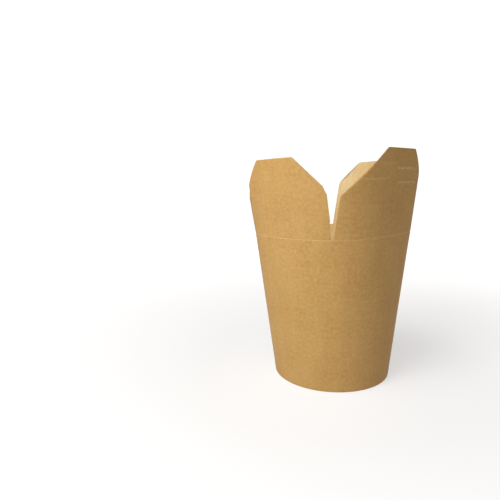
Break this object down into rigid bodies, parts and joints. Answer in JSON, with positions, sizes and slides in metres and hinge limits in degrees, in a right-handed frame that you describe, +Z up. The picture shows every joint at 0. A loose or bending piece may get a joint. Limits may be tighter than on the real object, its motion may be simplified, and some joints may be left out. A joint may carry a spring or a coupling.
{
  "type": "noodle takeaway box",
  "caption": "Round-based kraft board takeaway cup, open, with folding top flaps: one slotted, one with a tongue, and plain side flaps.",
  "frame": {"origin": "middle of the cup's round foot, on the table", "axes": "+Z up along the cup's axis, -Y out through the slotted flap, +Y out through the tongue flap, the plain side flaps at -X and +X"},
  "size_m": [0.1212, 0.1104, 0.1616],
  "materials": {
    "kraft_board": "matte brown kraft paperboard, uncoated outside",
    "inner_board": "pale lined paperboard, satin inside"
  },
  "bodies": {
    "cup": {"wall": "kraft_board", "bottom": "inner_board"},
    "slotted": {"flap_slotted": "kraft_board"},
    "tongue": {"flap_tongue": "kraft_board"},
    "side_left": {"flap_side_left": "kraft_board"},
    "side_right": {"flap_side_right": "kraft_board"}
  },
  "joints": [
    {"name": "side_left_fold", "type": "hinge", "parent": "cup", "child": "side_left", "pos_m": [-0.0444, 0, 0.10615], "axis": [0, 1, 0], "range_deg": [0, 72]},
    {"name": "side_right_fold", "type": "hinge", "parent": "cup", "child": "side_right", "pos_m": [0.0444, 0, 0.10615], "axis": [0, -1, 0], "range_deg": [0, 72]},
    {"name": "tongue_fold", "type": "hinge", "parent": "cup", "child": "tongue", "pos_m": [0, 0.0347, 0.10615], "axis": [1, 0, 0], "range_deg": [0, 50]},
    {"name": "slotted_fold", "type": "hinge", "parent": "cup", "child": "slotted", "pos_m": [0, -0.0347, 0.10615], "axis": [-1, 0, 0], "range_deg": [0, 50]}
  ]
}
